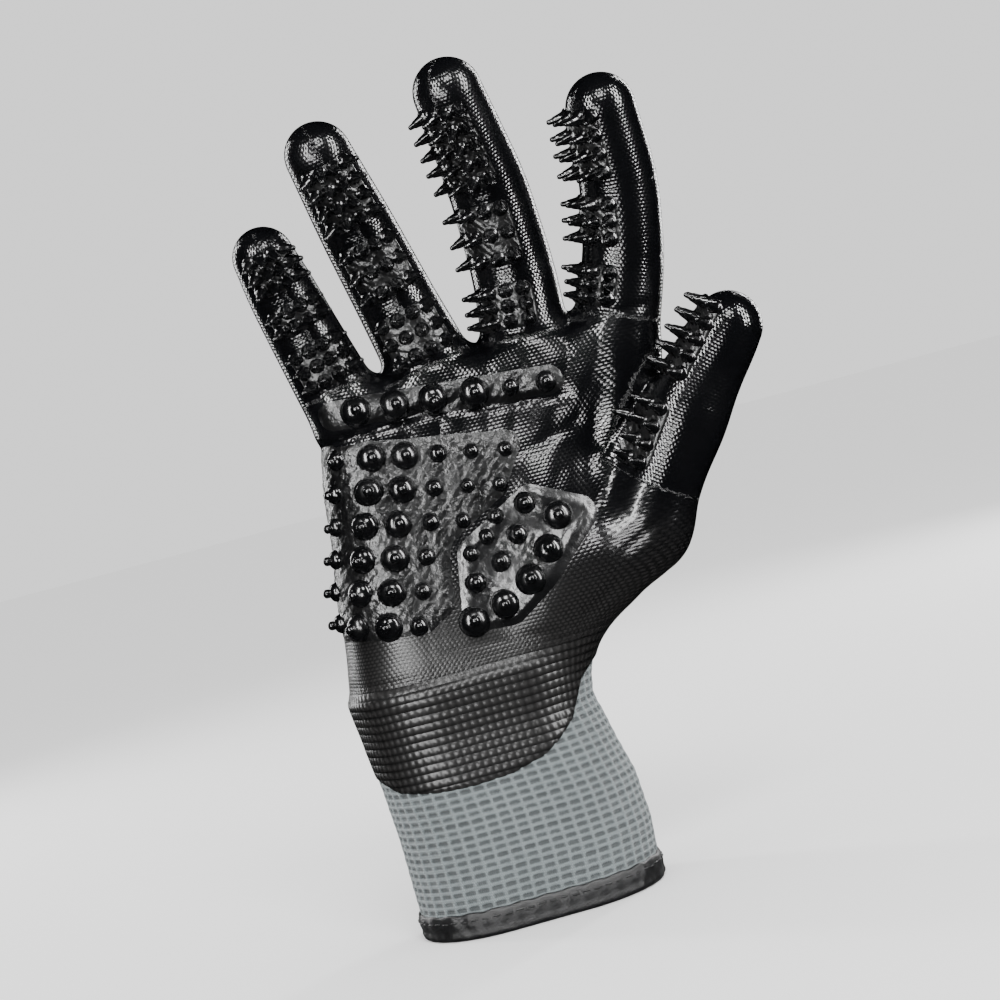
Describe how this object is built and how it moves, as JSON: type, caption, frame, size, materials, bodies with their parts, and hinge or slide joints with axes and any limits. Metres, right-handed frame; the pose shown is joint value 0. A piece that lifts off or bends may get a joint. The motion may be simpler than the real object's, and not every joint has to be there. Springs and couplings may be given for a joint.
{
  "type": "pet grooming glove",
  "caption": "Right-hand grooming glove with a knit liner, rubber-dipped palm and fingers, moulded rubber nubs, bound hem and slit, and a hook-and-loop wrist strap.",
  "frame": {"origin": "centre of the hand opening, in the plane of the hem", "axes": "+Z from the hem towards the fingertips, +X to the thumb, -Y out of the palm, +Y out of the back"},
  "size_m": [0.1353, 0.0631, 0.2294],
  "materials": {
    "knit": "cool grey ribbed knit",
    "rubber_dip": "glossy black rubber dip that shows the knit under it",
    "rubber_nubs": "soft satin black rubber",
    "binding": "black satin elastic binding",
    "thread": "black sewing thread",
    "strap": "charcoal synthetic leather, satin",
    "hook_and_loop": "dark grey hook-and-loop tape",
    "print": "light grey printed motif"
  },
  "bodies": {
    "hand": {"knit_cuff": "knit", "knit_hand": "knit", "palm_coating": "rubber_dip", "palm_bar_nubs": "rubber_nubs", "palm_heel_nubs": "rubber_nubs", "thenar_nubs": "rubber_nubs", "hem_binding": "binding", "hem_thread": "thread", "slit_binding": "binding", "loop_patch": "hook_and_loop", "strap_tab": "strap"},
    "thumb_base": {"thumb_stall_base": "knit", "thumb_coating_base": "rubber_dip", "thumb_nubs_base": "rubber_nubs"},
    "thumb_tip": {"thumb_stall_tip": "knit", "thumb_coating_tip": "rubber_dip", "thumb_nubs_tip": "rubber_nubs"},
    "index_base": {"index_stall_base": "knit", "index_coating_base": "rubber_dip", "index_nubs_base": "rubber_nubs"},
    "index_middle": {"index_stall_middle": "knit", "index_coating_middle": "rubber_dip", "index_nubs_middle": "rubber_nubs"},
    "index_tip": {"index_stall_tip": "knit", "index_coating_tip": "rubber_dip", "index_nubs_tip": "rubber_nubs"},
    "middle_base": {"middle_stall_base": "knit", "middle_coating_base": "rubber_dip", "middle_nubs_base": "rubber_nubs"},
    "middle_middle": {"middle_stall_middle": "knit", "middle_coating_middle": "rubber_dip", "middle_nubs_middle": "rubber_nubs"},
    "middle_tip": {"middle_stall_tip": "knit", "middle_coating_tip": "rubber_dip", "middle_nubs_tip": "rubber_nubs"},
    "ring_base": {"ring_stall_base": "knit", "ring_coating_base": "rubber_dip", "ring_nubs_base": "rubber_nubs"},
    "ring_middle": {"ring_stall_middle": "knit", "ring_coating_middle": "rubber_dip", "ring_nubs_middle": "rubber_nubs"},
    "ring_tip": {"ring_stall_tip": "knit", "ring_coating_tip": "rubber_dip", "ring_nubs_tip": "rubber_nubs"},
    "pinky_base": {"pinky_stall_base": "knit", "pinky_coating_base": "rubber_dip", "pinky_nubs_base": "rubber_nubs"},
    "pinky_middle": {"pinky_stall_middle": "knit", "pinky_coating_middle": "rubber_dip", "pinky_nubs_middle": "rubber_nubs"},
    "pinky_tip": {"pinky_stall_tip": "knit", "pinky_coating_tip": "rubber_dip", "pinky_nubs_tip": "rubber_nubs"},
    "strap": {"strap": "strap", "hook_tape": "hook_and_loop", "strap_thread": "thread", "strap_print": "print"}
  },
  "joints": [
    {"name": "thumb_knuckle_bend", "type": "hinge", "parent": "hand", "child": "thumb_base", "pos_m": [0.0556, -0.01975, 0.10664], "axis": [0.5635, -0.633, -0.5308], "range_deg": [-8, 28], "stiffness_Nm_per_rad": 0.06},
    {"name": "thumb_end_bend", "type": "hinge", "parent": "thumb_base", "child": "thumb_tip", "pos_m": [0.06978, -0.02355, 0.12621], "axis": [0.5485, -0.6287, -0.5512], "range_deg": [-8, 28], "stiffness_Nm_per_rad": 0.05},
    {"name": "index_knuckle_bend", "type": "hinge", "parent": "hand", "child": "index_base", "pos_m": [0.06073, -0.01315, 0.15137], "axis": [0.9346, -0.0346, -0.354], "range_deg": [-8, 34], "stiffness_Nm_per_rad": 0.06},
    {"name": "index_middle_bend", "type": "hinge", "parent": "index_base", "child": "index_middle", "pos_m": [0.06642, -0.01455, 0.16657], "axis": [0.9629, -0.0489, -0.2655], "range_deg": [-8, 34], "stiffness_Nm_per_rad": 0.05},
    {"name": "index_end_bend", "type": "hinge", "parent": "index_middle", "child": "index_tip", "pos_m": [0.0695, -0.01879, 0.1854], "axis": [0.992, -0.0934, -0.0855], "range_deg": [-5.2, 22.1], "stiffness_Nm_per_rad": 0.04},
    {"name": "middle_knuckle_bend", "type": "hinge", "parent": "hand", "child": "middle_base", "pos_m": [0.03511, -0.00947, 0.153], "axis": [0.9934, -0.087, -0.074], "range_deg": [-8, 34], "stiffness_Nm_per_rad": 0.06},
    {"name": "middle_middle_bend", "type": "hinge", "parent": "middle_base", "child": "middle_middle", "pos_m": [0.03638, -0.00979, 0.17044], "axis": [0.9955, -0.0928, -0.0189], "range_deg": [-8, 34], "stiffness_Nm_per_rad": 0.05},
    {"name": "middle_end_bend", "type": "hinge", "parent": "middle_middle", "child": "middle_tip", "pos_m": [0.03502, -0.01515, 0.19302], "axis": [0.9892, -0.1197, 0.0841], "range_deg": [-5.2, 22.1], "stiffness_Nm_per_rad": 0.04},
    {"name": "ring_knuckle_bend", "type": "hinge", "parent": "hand", "child": "ring_base", "pos_m": [0.00754, -0.00915, 0.15151], "axis": [0.9666, -0.1217, 0.2255], "range_deg": [-8, 34], "stiffness_Nm_per_rad": 0.06},
    {"name": "ring_middle_bend", "type": "hinge", "parent": "ring_base", "child": "ring_middle", "pos_m": [0.00308, -0.00937, 0.17051], "axis": [0.9685, -0.1208, 0.2179], "range_deg": [-8, 34], "stiffness_Nm_per_rad": 0.05},
    {"name": "ring_end_bend", "type": "hinge", "parent": "ring_middle", "child": "ring_tip", "pos_m": [-0.0021, -0.01489, 0.19129], "axis": [0.9718, -0.1172, 0.2048], "range_deg": [-5.2, 22.1], "stiffness_Nm_per_rad": 0.04},
    {"name": "pinky_knuckle_bend", "type": "hinge", "parent": "hand", "child": "pinky_base", "pos_m": [-0.01841, -0.00989, 0.15167], "axis": [0.9681, 0, 0.2504], "range_deg": [-8, 34], "stiffness_Nm_per_rad": 0.06},
    {"name": "pinky_middle_bend", "type": "hinge", "parent": "pinky_base", "child": "pinky_middle", "pos_m": [-0.02262, -0.01046, 0.16794], "axis": [0.9695, 0.0007, 0.2451], "range_deg": [-8, 34], "stiffness_Nm_per_rad": 0.05},
    {"name": "pinky_end_bend", "type": "hinge", "parent": "pinky_middle", "child": "pinky_tip", "pos_m": [-0.02565, -0.01356, 0.1802], "axis": [0.9717, 0.0032, 0.2361], "range_deg": [-5.2, 22.1], "stiffness_Nm_per_rad": 0.04},
    {"name": "strap_open", "type": "hinge", "parent": "hand", "child": "strap", "pos_m": [0.02614, 0.02189, 0.029], "axis": [0, 0, -1], "range_deg": [0, 100]}
  ],
  "couplings": [
    {"joint": "thumb_end_bend", "follows": "thumb_knuckle_bend", "ratio": 1},
    {"joint": "index_middle_bend", "follows": "index_knuckle_bend", "ratio": 1},
    {"joint": "index_end_bend", "follows": "index_knuckle_bend", "ratio": 0.65},
    {"joint": "middle_middle_bend", "follows": "middle_knuckle_bend", "ratio": 1},
    {"joint": "middle_end_bend", "follows": "middle_knuckle_bend", "ratio": 0.65},
    {"joint": "ring_middle_bend", "follows": "ring_knuckle_bend", "ratio": 1},
    {"joint": "ring_end_bend", "follows": "ring_knuckle_bend", "ratio": 0.65},
    {"joint": "pinky_middle_bend", "follows": "pinky_knuckle_bend", "ratio": 1},
    {"joint": "pinky_end_bend", "follows": "pinky_knuckle_bend", "ratio": 0.65}
  ]
}
